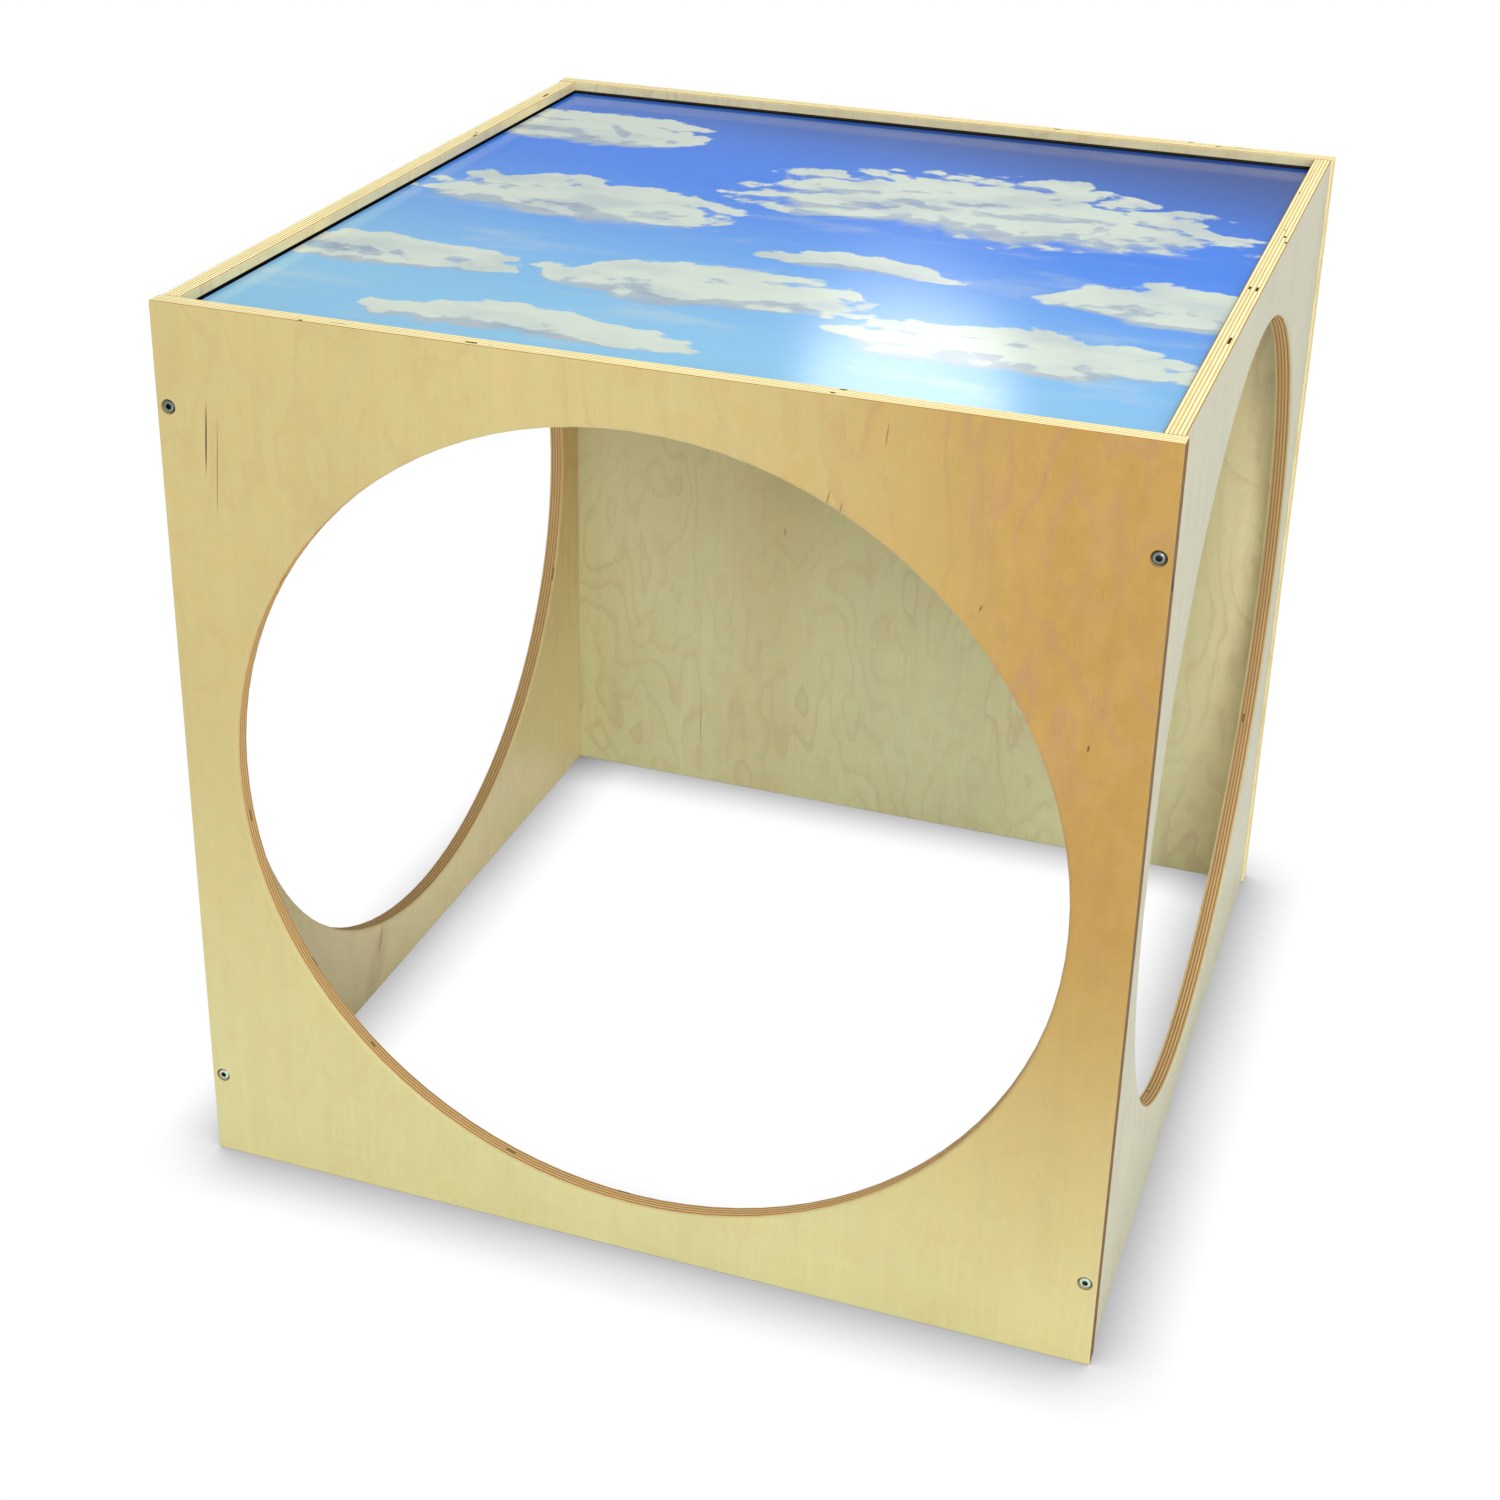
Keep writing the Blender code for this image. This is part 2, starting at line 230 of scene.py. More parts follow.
# The figure follows the contour lines of a hill, which wander, in stronger and weaker patches.
# Each line darkens slowly and ends sharply.
FIGURE_HILL = Grain(6.0, 2.4, 0.0, 3.0, 0.55)
FIGURE_WANDER = Grain(38.0, 15.0, 3.0, 5.0, 0.62)
FIGURE_PATCHES = Grain(9.0, 6.0, 9.0)
WANDER_REACH = 1.5
LINE_RAMP = (0.50, 0.92)
LINE_END = (1.0, 0.90)
LINE_TONE = 0.12
PATCH_RAMP = (0.30, 0.70)
WEAKEST_PATCH = 0.2
MARK_OUTLINE = Grain(900.0, 160.0)
# The inner face takes its noise from this far past the outer one's.
INNER_OFFSET = 40.0

# Layers of a cut face: wandering plies, fibres along each ply, patches, voids and end-grain pits.
PLY_LEVELS = Grain(12.0, 12.0, 21.0)
PLY_FIBRES = Grain(700.0, 14.0, 0.0, 2.0, 0.6, tone=0.16, relief=0.5)
PLY_PATCHES = Grain(34.0, 34.0, tone=0.26)
PLY_VOIDS = Grain(38.0, 38.0, 31.0, 1.0)
PLY_PITS = Grain(900.0, 900.0, 0.0, 1.0)
# Each ply takes its noise from this far past the ply before it. The pits' noise is this long
# through the panel.
FIBRE_STEP = 7.31
PATCH_STEP = 5.17
VOID_STEP = 11.7
PITS_THROUGH = 60.0
VOID_RAMP = (0.725, 0.740)
PLY_TONE = 0.22
# End grain darkens, less so in its pits. It starts where the normal is this far along the grain.
END_GRAIN_RAMP = (0.25, 0.90)
END_GRAIN_TONE = 0.2
END_GRAIN_LEVEL = 1.3
# How much of the glue line shows in the pale edges and in the brown ones, and how low each of
# these lies, against the relief of the fibres.
GLUE_SHOWS = (0.30, 0.60)
END_GRAIN_DEPTH = 0.5
PIT_DEPTH = 0.6
GLUE_DEPTH = 0.5
VOID_DEPTH = 3.0

# Layers of the sky print.
CLOUD_WARP_ACROSS = Grain(9.0, 13.0, 41.0)
CLOUD_WARP_ALONG = Grain(9.0, 13.0, 47.0)
CLOUD_WARP_REACH = (0.10, 0.06)
CLOUD_BILLOWS = Grain(22.0, 30.0, 3.0, 8.0, 0.60)
CLOUD_MOTTLE = Grain(12.0, 20.0, 27.0, 3.0)
SKY_HAZE = Grain(3.0, 6.0, 5.0, 3.0)
SKY_VEIL = Grain(7.0, 22.0, 15.0, 4.0)
PRINT_SMEAR = Grain(9.0, 9.0, 8.0, 3.0)
PRINT_DOTS = 2600.0
# Large and small puffs: how many to the metre across and along, and the small ones' share.
LARGE_PUFFS = (26.0, 34.0)
SMALL_PUFFS = (66.0, 84.0)
SMALL_PUFF_SHARE = 0.4
PUFF_MIDDLE = 0.6
# What banks, billows and puffs add to the cover. A bank is flattened below its middle.
BANK_WEIGHT = 0.52
BILLOW_WEIGHT = 0.66
PUFF_WEIGHT = 0.26
FOOT_RAMP = (0.1, -0.6)
FOOT_FLATNESS = 0.7
# A cloud's foot lies where the cover grows by this much along the light's shift. The outline is
# this soft at its top and at its foot, and the foot has this share of all shadow.
FOOT_SLOPES = (-0.14, 0.16)
CLOUD_SOFTNESS = (0.08, 0.34)
FOOT_SHADOW = 0.65
FOOT_SHADOW_RAMP = (0.30, 1.0)
CLOUD_MOTTLE_RAMP = (0.42, 0.70)


def linear(colour):
    """An sRGB colour, written from 0 to 255, as the linear one that Blender's sockets take."""
    parts = [c / 255 for c in colour]
    return tuple(p / 12.92 if p <= 0.04045 else ((p + 0.055) / 1.055) ** 2.4 for p in parts) + (1.0,)


class Field:
    """One value over a whole surface. Arithmetic on it adds Math nodes to its graph."""

    def __init__(self, graph, socket):
        self.graph = graph
        self.socket = socket

    def __add__(self, other):
        return self.graph.math("ADD", self, other)

    def __radd__(self, other):
        return self.graph.math("ADD", other, self)

    def __sub__(self, other):
        return self.graph.math("SUBTRACT", self, other)

    def __rsub__(self, other):
        return self.graph.math("SUBTRACT", other, self)

    def __mul__(self, other):
        return self.graph.math("MULTIPLY", self, other)

    def __rmul__(self, other):
        return self.graph.math("MULTIPLY", other, self)

    def __truediv__(self, other):
        return self.graph.math("DIVIDE", self, other)

    def __abs__(self):
        return self.graph.math("ABSOLUTE", self)


class Graph:
    """Builds a node tree out of formulas. Inputs are numbers, tuples or Fields."""

    def __init__(self, tree):
        tree.nodes.clear()
        self.tree = tree

    def node(self, kind, inputs=None, **settings):
        """Adds one shader node, with its settings, and fills its inputs by name or index."""
        node = self.tree.nodes.new("ShaderNode" + kind)
        for name, value in settings.items():
            setattr(node, name, value)
        for key, value in (inputs or {}).items():
            if isinstance(value, Field):
                self.tree.links.new(value.socket, node.inputs[key])
            else:
                node.inputs[key].default_value = value
        return node

    def field(self, node, output):
        return Field(self, node.outputs[output])

    def math(self, operation, *values):
        node = self.node("Math", dict(enumerate(values)), operation=operation)
        return self.field(node, 0)

    def fraction(self, value):
        return self.math("FRACT", value)

    def whole(self, value):
        return self.math("FLOOR", value)

    def larger(self, a, b):
        return self.math("MAXIMUM", a, b)

    def smaller(self, a, b):
        return self.math("MINIMUM", a, b)

    def above(self, value, limit):
        """1 where the value is above the limit, and 0 elsewhere."""
        return self.math("GREATER_THAN", value, limit)

    def between(self, share, a, b):
        """The value a where the share is 0 and b where it is 1."""
        return share * (b - a) + a

    def over(self, value, across, up):
        """A value that may be a function of the place on a panel's face."""
        return value(self, across, up) if callable(value) else value

    def smooth(self, value, low, high):
        """0 below low, 1 above high, and a smooth step between them. It falls if low is above high."""
        inputs = {"Value": value, "From Min": low, "From Max": high}
        if low > high:
            inputs = {"Value": value, "From Min": high, "From Max": low, "To Min": 1.0, "To Max": 0.0}
        return self.field(self.node("MapRange", inputs, interpolation_type="SMOOTHSTEP"), 0)

    def vector(self, x, y, z=0.0):
        return self.field(self.node("CombineXYZ", {0: x, 1: y, 2: z}), 0)

    def noise(self, x, y, z=0.0, detail=2.0, roughness=0.5):
        """Smooth noise round 0.5 whose features are about one unit of x and y apart."""
        inputs = {
            "Vector": self.vector(x, y, z),
            "Scale": 1.0,
            "Detail": detail,
            "Roughness": roughness,
        }
        return self.field(self.node("TexNoise", inputs), 0)

    def grain(self, layer, across, up, seed=0.0):
        """One layer of noise over a surface."""
        place = (across * layer.across, up * layer.up, seed + layer.offset)
        return self.noise(*place, layer.detail, layer.roughness)

    def puffs(self, x, y):
        """The distance from the middle of the nearest of many round puffs about one unit across."""
        inputs = {"Vector": self.vector(x, y), "Scale": 1.0, "Smoothness": 0.35}
        node = self.node("TexVoronoi", inputs, feature="SMOOTH_F1", voronoi_dimensions="2D")
        return self.field(node, "Distance")

    def random(self, value):
        """A random number from 0 to 1 for each whole value."""
        return self.field(self.node("TexWhiteNoise", {"W": value}, noise_dimensions="1D"), 0)

    def mix(self, factor, a, b):
        """Colour a where factor is 0 and b where it is 1."""
        return self.field(self.node("Mix", {0: factor, 6: a, 7: b}, data_type="RGBA"), 2)

    def shade(self, colour, amount):
        """A colour made darker or lighter by an amount round 1."""
        node = self.node("VectorMath", {0: colour, 3: amount}, operation="SCALE")
        return self.field(node, 0)

    def coordinates(self, kind):
        """The three parts of one kind of texture coordinates."""
        node = self.node("SeparateXYZ", {0: self.field(self.node("TexCoord"), kind)})
        return [self.field(node, i) for i in range(3)]

    def position(self):
        """Where each point lies, in metres."""
        return self.coordinates("Object")

    def normal(self):
        """The sizes of the surface normal's three parts."""
        return [abs(part) for part in self.coordinates("Normal")]

    def bump(self, height, distance, strength=1.0):
        node = self.node("Bump", {"Height": height, "Distance": distance, "Strength": strength})
        return self.field(node, "Normal")

    def surface(self, shader):
        """Puts a shader on the material's output."""
        output = self.node("OutputMaterial")
        self.tree.links.new(shader.outputs[0], output.inputs["Surface"])


def new_material(name):
    """An empty node material and the graph that fills it."""
    material = bpy.data.materials.new(name)
    material.use_nodes = True
    return material, Graph(material.node_tree)


def finish_node(name, material):
    """Gives a CAD node its material."""
    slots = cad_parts[name].data.materials
    slots.clear()
    slots.append(material)


class Face(NamedTuple):
    """Looks of one face of a panel. A share may also be a function of the place that gives one."""
    pale: tuple
    amber: tuple
    amber_share: object
    figure_share: object
    rings: float
    painted_light_share: object = 0.0
    blush: tuple = VENEER_BLUSH
    marks: tuple = ()
    mark_colour: tuple = MINERAL_STREAK


class Cuts(NamedTuple):
    """Tones of a panel's cut faces round 1, how brown its upright ends are, and how even its rim is."""
    end_tone: float = 1.0
    rim_tone: float = 1.0
    end_brown: float = 1.0
    rim_evenness: float = 0.0


class Plies(NamedTuple):
    """Where the points of a cut face lie in the stack of plies."""
    level: Field
    number: Field
    crossing: Field
    glue: Field


def spot(graph, across, up, mark):
    """How much of a small upright mark lies at each point, with a soft ragged outline."""
    centre_across, centre_up, half_width, half_height, lean, strength = mark
    ragged = 0.75 + graph.grain(MARK_OUTLINE, across, up) * 0.5
    over_centre = up - centre_up
    reach_across = (across - over_centre * lean - centre_across) / half_width
    reach_up = over_centre / half_height
    reach = reach_across * reach_across + reach_up * reach_up
    return graph.smooth(reach * ragged, *MARK_RAMP) * strength


def veneer_figure(graph, across, up, seed, rings):
    """Contour lines of rotary cut birch: closed rings and long upright tongues, and their patches."""
    wander = graph.grain(FIGURE_WANDER, across, up, seed)
    hill = graph.grain(FIGURE_HILL, across, up, seed)
    share = graph.fraction(hill * rings + wander * WANDER_REACH)
    line = graph.smooth(share, *LINE_RAMP) * graph.smooth(share, *LINE_END)
    strength = graph.grain(FIGURE_PATCHES, across, up, seed)
    patches = graph.between(graph.smooth(strength, *PATCH_RAMP), WEAKEST_PATCH, 1.0)
    return line * patches, patches


def veneer(graph, across, up, seed, ground, blush_colour, figure, rings):
    """Colour of a lacquered birch face, and the height of its fibres and pores."""
    fibres = graph.grain(FIBRES, across, up, seed)
    streaks = graph.grain(STREAKS, across, up, seed)
    shades = graph.grain(SHADES, across, up, seed)
    curl = graph.grain(CURL, across, up, seed)
    mottle = graph.grain(MOTTLE, across, up, seed)
    pores = graph.smooth(graph.grain(PORES, across, up, seed), *PORE_RAMP)
    lines, patches = veneer_figure(graph, across, up, seed, rings)

    colour = graph.mix(patches * figure * PATCH_BLUSH, ground, blush_colour)
    colour = graph.mix(lines * figure, colour, linear(VENEER_FIGURE))
    blush = graph.smooth(mottle, *MOTTLE_RAMP) * graph.between(figure, *MOTTLE_BLUSH)
    colour = graph.mix(blush, colour, blush_colour)
    tone = 1.0 + FIBRES.sway(fibres) + STREAKS.sway(streaks) + SHADES.sway(shades)
    tone = tone + CURL.sway(curl) + MOTTLE.sway(mottle)
    tone = tone - pores * PORE_TONE - lines * figure * LINE_TONE
    height = fibres * FIBRES.relief - pores * PORE_DEPTH + curl * CURL.relief
    return graph.shade(colour, tone), height


def face_ground(graph, face, lip, across, up):
    """Ground colour of one face, between its pale and its amber, with painted light on the lip and
    wherever its painted light share reaches.
    """
    share = graph.over(face.amber_share, across, up) * (1.0 - lip * LIP_PAINTED_LIGHT_SHARE)
    bright = graph.larger(lip, graph.over(face.painted_light_share, across, up))
    pale = graph.mix(bright, linear(face.pale), linear(VENEER_PAINTED_LIGHT))
    return graph.mix(share, pale, linear(face.amber))


def veneered_faces(graph, faces, is_inner, lip, across, up, seed):
    """Colour and height of a panel's outer and inner face, with their marks."""
    outer, inner = faces
    ground = graph.mix(is_inner, *(face_ground(graph, face, lip, across, up) for face in faces))
    figures = [graph.over(face.figure_share, across, up) for face in faces]
    figure = graph.between(is_inner, *figures)
    rings = graph.between(is_inner, outer.rings, inner.rings)
    blush = graph.mix(is_inner, linear(outer.blush), linear(inner.blush))
    face_seed = is_inner * INNER_OFFSET + seed
    colour, height = veneer(graph, across, up, face_seed, ground, blush, figure, rings)
    for face, shows in ((outer, 1.0 - is_inner), (inner, is_inner)):
        for mark in face.marks:
            stain = spot(graph, across, up, mark) * shows
            colour = graph.mix(stain, colour, linear(face.mark_colour))
    return colour, height


def stack_plies(graph, across, up, depth, seed):
    """The ply that each point of a cut face lies in."""
    wander = graph.grain(PLY_LEVELS, across, up, seed) - 0.5
    level = depth + wander * PLY_WANDER
    pair = graph.whole(level / PLY_PAIR)
    within = level - pair * PLY_PAIR
    crossing = graph.above(within, UPRIGHT_PLY)
    past_glue = graph.smaller(within, PLY_PAIR - within)
    past_glue = graph.smaller(past_glue, abs(within - UPRIGHT_PLY))
    glue = graph.smooth(past_glue, GLUE_REACH, 0.0)
    return Plies(level, pair * 2.0 + crossing, crossing, glue)


def ply_colour(graph, plies, brown):
    """Colour of the upright plies, the crossing ones and the face veneers, pale or brown."""
    upright = graph.mix(brown, linear(UPRIGHT_PALE), linear(UPRIGHT_BROWN))
    crossing = graph.mix(brown, linear(CROSSING_PALE), linear(CROSSING_BROWN))
    face_ply = graph.mix(brown, linear(FACE_PLY_PALE), linear(FACE_PLY_BROWN))
    is_face_ply = graph.smooth(abs(plies.level - 0.5), 0.5 - UPRIGHT_PLY, 0.5 - UPRIGHT_PLY * 0.6)
    colour = graph.mix(plies.crossing, upright, crossing)
    return graph.mix(is_face_ply, colour, face_ply)


def ply_edges(graph, across, up, depth, normals, brown, seed):
    """Colour and height of the plies where a panel is cut across: its edges and hole rims."""
    plies = stack_plies(graph, across, up, depth, seed)
    normal_across, normal_up = normals
    end_grain = graph.between(plies.crossing, normal_up, normal_across)
    end_grain = graph.smooth(end_grain, *END_GRAIN_RAMP)
    over_grain = graph.between(plies.crossing, across, up)
    along_grain = graph.between(plies.crossing, up, across)

    fibres = graph.grain(PLY_FIBRES, over_grain, along_grain, plies.number * FIBRE_STEP + seed)
    patches = graph.grain(PLY_PATCHES, across, up, plies.number * PATCH_STEP + seed)
    voids = graph.grain(PLY_VOIDS, across, up, plies.number * VOID_STEP + seed)
    voids = graph.smooth(voids, *VOID_RAMP) * (1.0 - plies.glue)
    pits = graph.grain(PLY_PITS, across, up, depth * PITS_THROUGH)
    own_tone = graph.random(plies.number + seed) - 0.5

    tone = 1.0 + own_tone * PLY_TONE + PLY_FIBRES.sway(fibres) + PLY_PATCHES.sway(patches)
    tone = tone + (pits - END_GRAIN_LEVEL) * end_grain * END_GRAIN_TONE
    colour = graph.shade(ply_colour(graph, plies, brown), tone)
    glue_shows = plies.glue * graph.between(brown, *GLUE_SHOWS)
    colour = graph.mix(glue_shows, colour, linear(GLUE_LINE))
    # The voids are painted with the shade that lies in them.
    colour = graph.mix(voids, colour, linear(HOLLOW_PAINTED_SHADE))
    height = fibres * PLY_FIBRES.relief - end_grain * END_GRAIN_DEPTH
    height = height - pits * end_grain * PIT_DEPTH
    return colour, height - plies.glue * GLUE_DEPTH - voids * VOID_DEPTH


def panel_axes(name):
    """The axis across a panel, the one through it, and its outer and inner face's places."""
    low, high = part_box(name)
    through = 0 if high.x - low.x < high.y - low.y else 1
    faces = sorted((low[through], high[through]), key=abs, reverse=True)
    return 1 - through, through, faces[0], faces[1]


def in_groove(graph, across_axis, across, up, is_inner):
    """1 in the sheet's groove, which is painted dark as shade, and 1 on the lip above it, which is
    painted light.
    """
    sheet_low, sheet_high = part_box("sky_sheet")
    slot_top = sheet_high.z + SLOT_HEIGHT
    groove_end = sheet_high[across_axis] + GROOVE_SPARE
    reached = is_inner * (1.0 - graph.above(abs(across), groove_end))
    lip = graph.smooth(up, slot_top, slot_top + GROOVE_BLUR) * reached
    groove = graph.smooth(up, sheet_low.z - 2 * GROOVE_BLUR, sheet_low.z - GROOVE_BLUR) * reached
    return groove - lip, lip


def cut_kinds(graph, name, across_axis, across, up, normals):
    """1 on a panel's upright ends, and 1 on the rim of its crawl hole."""
    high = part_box(name)[1]
    past_end = abs(across) - (high[across_axis] - EDGE_MARGIN)
    past_top = abs(up - high.z / 2) - (high.z / 2 - EDGE_MARGIN)
    past_rim = graph.larger(graph.larger(past_end, past_top), abs(across) - HOLE_REACH)
    is_end = graph.smooth(past_end, 0.0, CUT_BLUR) * graph.smooth(normals[across_axis], *END_RAMP)
    return is_end, 1.0 - graph.smooth(past_rim, 0.0, CUT_BLUR)


def birch_plywood(name, seed, outer_face, inner_face, cuts):
    """Solid birch plywood for one panel: a veneer on each face and the plies in its cut edges."""
    material, graph = new_material("birch_" + name)
    place = graph.position()
    normals = graph.normal()
    across_axis, through_axis, outer, inner = panel_axes(name)
    across = place[across_axis]
    up = place[2]
    depth = (place[through_axis] - outer) / (inner - outer)
    is_inner = graph.above(depth, 0.5)

    faces = (outer_face, inner_face)
    groove, lip = in_groove(graph, across_axis, across, up, is_inner)
    face_colour, face_height = veneered_faces(graph, faces, is_inner, lip, across, up, seed)

    is_end, is_rim = cut_kinds(graph, name, across_axis, across, up, normals)
    cut_normals = (normals[across_axis], normals[2])
    brown = is_rim + is_end * cuts.end_brown
    cut_colour, cut_height = ply_edges(graph, across, up, depth, cut_normals, brown, seed)
    cut_colour = graph.mix(is_rim * cuts.rim_evenness, cut_colour, linear(RIM_TAN))
    tone = graph.between(is_end, 1.0, cuts.end_tone) * graph.between(is_rim, 1.0, cuts.rim_tone)
    cut_colour = graph.shade(cut_colour, tone)

    is_face = graph.smooth(normals[through_axis], *FACE_RAMP)
    colour = graph.mix(is_face, cut_colour, face_colour)
    # Shade is painted into the sheet's groove.
    colour = graph.mix(groove * GROOVE_PAINTED_SHADE, colour, linear(HOLLOW_PAINTED_SHADE))
    height = graph.between(is_face, cut_height, face_height)
    roughness = graph.between(is_face, CUT_ROUGHNESS, FACE_ROUGHNESS)
    shader = graph.node("BsdfPrincipled", {
        "Base Color": colour,
        "Roughness": roughness + (face_height - FIBRE_MEAN) * FIBRE_ROUGHNESS,
        "IOR": LACQUER_IOR,
        "Specular IOR Level": graph.between(is_face, CUT_GLOSS, FACE_GLOSS),
        "Normal": graph.bump(height, WOOD_RELIEF),
    })
    graph.surface(shader)
    return material


def cloud_banks(graph, across, along):
    """Hills of cloud cover: 1 at the middle of a bank, 0 at its rim and less outside."""
    banks = CLEAR_SKY
    for centre_across, centre_along, half_width, half_height in CLOUD_BANKS:
        reach_across = (across - centre_across) / half_width
        reach_along = (along - centre_along) / half_height
        foot = graph.smooth(reach_along, *FOOT_RAMP) * FOOT_FLATNESS + 1.0
        reach_along = reach_along * foot
        reach = reach_across * reach_across + reach_along * reach_along
        banks = graph.larger(1.0 - reach, banks)
    return banks


def cloud_field(graph, across, along, detail):
    """How thick the printed clouds are at each point. They begin where it is above 0."""
    warp_across = graph.grain(CLOUD_WARP_ACROSS, across, along) - 0.5
    warp_along = graph.grain(CLOUD_WARP_ALONG, across, along) - 0.5
    wavy_across = across + warp_across * CLOUD_WARP_REACH[0]
    wavy_along = along + warp_along * CLOUD_WARP_REACH[1]
    billows = graph.grain(CLOUD_BILLOWS._replace(detail=detail), wavy_across, wavy_along)
    large_puffs = graph.puffs(wavy_across * LARGE_PUFFS[0], wavy_along * LARGE_PUFFS[1])
    small_puffs = graph.puffs(across * SMALL_PUFFS[0], along * SMALL_PUFFS[1])
    puffs = large_puffs + small_puffs * SMALL_PUFF_SHARE
    banks = cloud_banks(graph, wavy_across, wavy_along)
    cover = banks * BANK_WEIGHT + (billows - 0.5) * BILLOW_WEIGHT
    return cover - (puffs - PUFF_MIDDLE) * PUFF_WEIGHT


def blue_sky(graph, across, along, haze):
    """Colour of the print behind its clouds, from its far edge to its near one."""
    down = along + across * SKY_LEAN
    sky = graph.mix(graph.smooth(down, *MIDDLE_FADE), linear(SKY_FAR), linear(SKY_MIDDLE))
    sky = graph.mix(graph.smooth(down, *NEAR_FADE), sky, linear(SKY_NEAR))
    return graph.shade(sky, 0.92 + haze * 0.16)


def cloud_cover(graph, across, along):
    """How much cloud covers the print, and how shaded it is: its foot is soft and grey."""
    clouds = cloud_field(graph, across, along, CLOUD_BILLOWS.detail)
    coarse = CLOUD_BILLOWS.detail / 2
    shift_across, shift_along = CLOUD_LIGHT_SHIFT
    lower_down = cloud_field(graph, across, along, coarse)
    higher_up = cloud_field(graph, across + shift_across, along + shift_along, coarse)
    foot = graph.smooth(higher_up - lower_down, *FOOT_SLOPES)
    cover = graph.smooth(clouds / graph.between(foot, *CLOUD_SOFTNESS), 0.0, 1.0)
    mottle = graph.smooth(graph.grain(CLOUD_MOTTLE, across, along), *CLOUD_MOTTLE_RAMP)
    return cover, graph.between(FOOT_SHADOW, mottle, graph.smooth(foot, *FOOT_SHADOW_RAMP))


def sky_print():
    """A glossy printed sheet with an own sky: blue at the far edge, pale at the near one."""
    material, graph = new_material("sky_print")
    across, along, up = graph.position()
    cover, shadow = cloud_cover(graph, across, along)
    haze = graph.grain(SKY_HAZE, across, along)
    veil = graph.grain(SKY_VEIL, across + haze * VEIL_DRIFT, along)
    veil = graph.smooth(veil, *VEIL_RAMP) * graph.smooth(along, *VEIL_FADE)
    cloud = graph.mix(shadow, linear(CLOUD_LIGHT), linear(CLOUD_SHADE))
    sky = blue_sky(graph, across, along, haze)
    colour = graph.mix(veil * VEIL_THICKNESS, sky, linear(CLOUD_LIGHT))
    colour = graph.mix(cover * CLOUD_THICKNESS, colour, cloud)
    dots = graph.noise(across * PRINT_DOTS, along * PRINT_DOTS, up * PRINT_DOTS, detail=1.0)
    colour = graph.shade(colour, 0.97 + dots * 0.06)
    # Shade is painted onto the print where it runs into the panels' groove.
    side_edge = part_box("right_panel")[0].x
    end_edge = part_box("back_panel")[0].y
    border = graph.larger(abs(across) - side_edge, abs(along) - end_edge)
    colour = graph.mix(graph.smooth(border, *EDGE_RAMP), colour, linear(PRINT_PAINTED_SHADE))

    smear = graph.grain(PRINT_SMEAR, across, along)
    shader = graph.node("BsdfPrincipled", {
        "Base Color": colour,
        "Roughness": 0.12 + smear * 0.04,
        "IOR": 1.5,
        "Normal": graph.bump(smear, 0.0004, 0.25),
    })
    graph.surface(shader)
    return material


def head_painted_shade(graph, rim_painted_shade):
    """Painted shade on a screw's head: in its socket, and outside its bright dome."""
    low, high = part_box("screw_front_left_low")
    share = graph.coordinates("Generated")
    reach_x = (share[0] - 0.5) * (high.x - low.x)
    reach_z = (share[2] - 0.5) * (high.z - low.z)
    reach = graph.math("SQRT", reach_x * reach_x + reach_z * reach_z)
    socket = graph.smooth(reach, SOCKET_RADIUS + PAINTED_SHADE_BLUR, SOCKET_RADIUS - PAINTED_SHADE_BLUR)
    rim = graph.smooth(reach, DOME_RADIUS - PAINTED_SHADE_BLUR, DOME_RADIUS + PAINTED_SHADE_BLUR)
    return socket * SOCKET_PAINTED_SHADE + rim * rim_painted_shade


def metal(name, looks, rim_painted_shade=None):
    """Plated or turned metal with fine scratches and dull patches. A screw also has painted shade in
    its socket and round its rim.
    """
    colour, dull_colour, roughness = looks
    material, graph = new_material(name)
    x, y, z = graph.position()
    dull = graph.noise(x * 900.0, z * 900.0, y * 900.0, detail=3.0, roughness=0.6)
    scratches = graph.noise(x * 9000.0, z * 1500.0, y * 4000.0)
    tone = graph.mix(graph.smooth(dull, 0.40, 0.75), linear(colour), linear(dull_colour))
    # Shade is painted into the socket and round the dome.
    if rim_painted_shade is not None:
        tone = graph.mix(head_painted_shade(graph, rim_painted_shade), tone, linear(METAL_PAINTED_SHADE))
    shader = graph.node("BsdfPrincipled", {
        "Base Color": tone,
        "Metallic": 1.0,
        "Roughness": roughness + dull * 0.12 + scratches * 0.06,
        "Normal": graph.bump(scratches, 0.00002),
    })
    graph.surface(shader)
    return material


# Gradients of the faces: each runs between two places, in metres, and is scaled by a share.


def front_amber(graph, across, up):
    """The front face runs from pale at its foot and left side to amber at its upper right."""
    rise = graph.smooth(up, -0.04, 0.44)
    flush = graph.smooth(across, 0.02, 0.34)
    return rise * (flush * 0.56 + 0.38) + graph.smooth(across, 0.10, 0.36) * 0.10


def front_figure(graph, across, up):
    """The front face is plain near its foot and shows more figure at its top."""
    flush = graph.smooth(across, -0.10, 0.20)
    return graph.smooth(up, 0.26, 0.58) * (flush * 0.38 + 0.10) + 0.05


def back_painted_shade_and_light(graph, across, up):
    """The back's inner face is pale near the floor and painted darker under the sheet as shade; painted
    light takes the amber out of its corners.
    """
    corner = graph.smooth(across, 0.27, 0.355) + graph.smooth(across, -0.30, -0.36) * 0.4
    band = graph.smooth(abs(across + 0.155 - up * 0.08), 0.085, 0.0) * 0.20
    return (graph.smooth(up, 0.06, 0.58) * 0.66 + band) * (1.0 - corner)


def back_painted_light(graph, across, up):
    """Painted light on the back's inner face, brightest in its right corner."""
    return graph.smooth(across, 0.28, 0.345)


def left_amber(graph, across, up):
    """The left's inner face is pale near the floor too."""
    return graph.smooth(up, 0.0, 0.46) * 0.84


